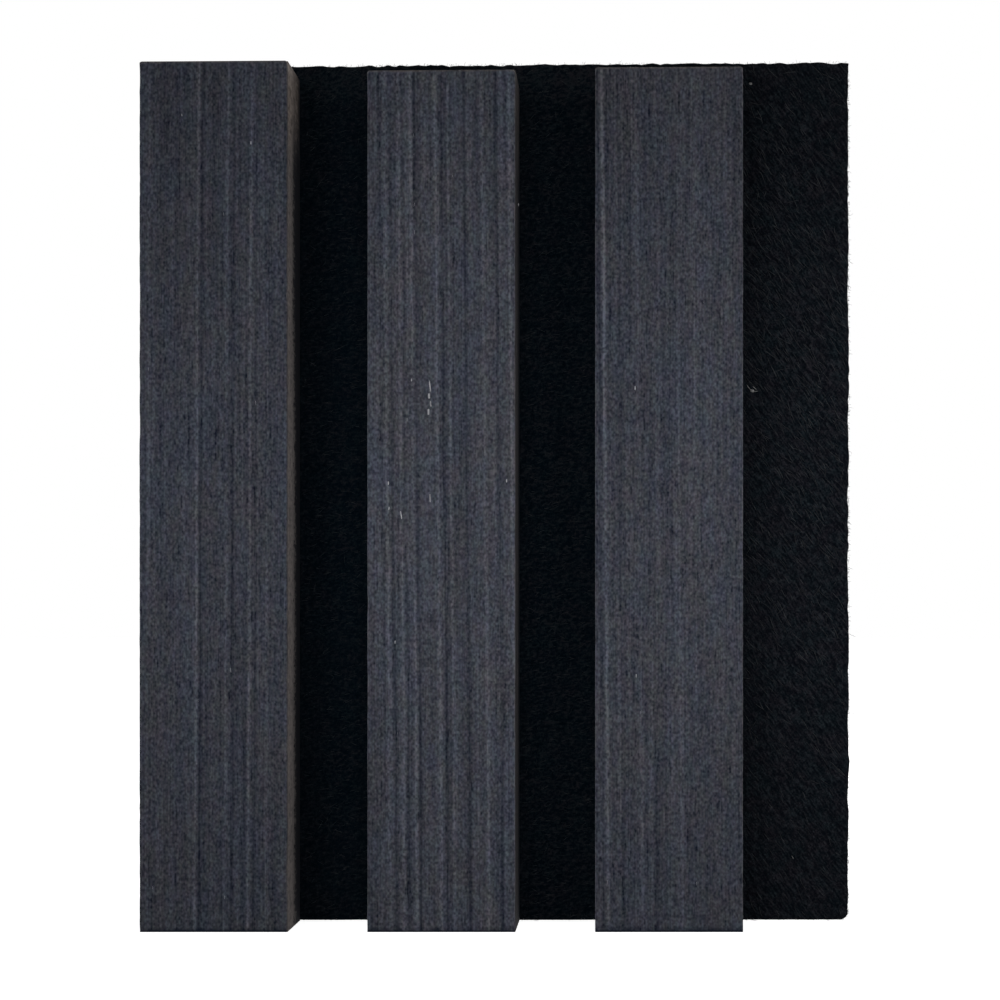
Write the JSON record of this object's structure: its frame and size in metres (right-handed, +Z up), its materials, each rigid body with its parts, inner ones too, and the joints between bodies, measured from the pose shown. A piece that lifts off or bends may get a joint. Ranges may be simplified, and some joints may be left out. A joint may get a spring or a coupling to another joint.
{
  "type": "acoustic slat wall panel",
  "caption": "Upright black felt panel with charcoal veneered slats set apart on its front, fixed to a wall to soften the sound of a room.",
  "frame": {"origin": "middle of the wall face, the flat back of the felt", "axes": "+X to the right along the wall as seen from the room, +Y into the wall, +Z up along the slats"},
  "size_m": [0.126, 0.021, 0.1564],
  "materials": {
    "felt": "matte needle-punched polyester felt, black",
    "fibreboard": "raw sawn fibreboard, brown",
    "veneer": "matte charcoal-stained straight-grained veneer",
    "staple_wire": "galvanised flat wire"
  },
  "bodies": {
    "root": {"felt_backing": "felt", "left_slat_core": "fibreboard", "left_slat_veneer": "veneer", "left_slat_staples": "staple_wire", "middle_slat_core": "fibreboard", "middle_slat_veneer": "veneer", "middle_slat_staples": "staple_wire", "right_slat_core": "fibreboard", "right_slat_veneer": "veneer", "right_slat_staples": "staple_wire"}
  },
  "joints": []
}
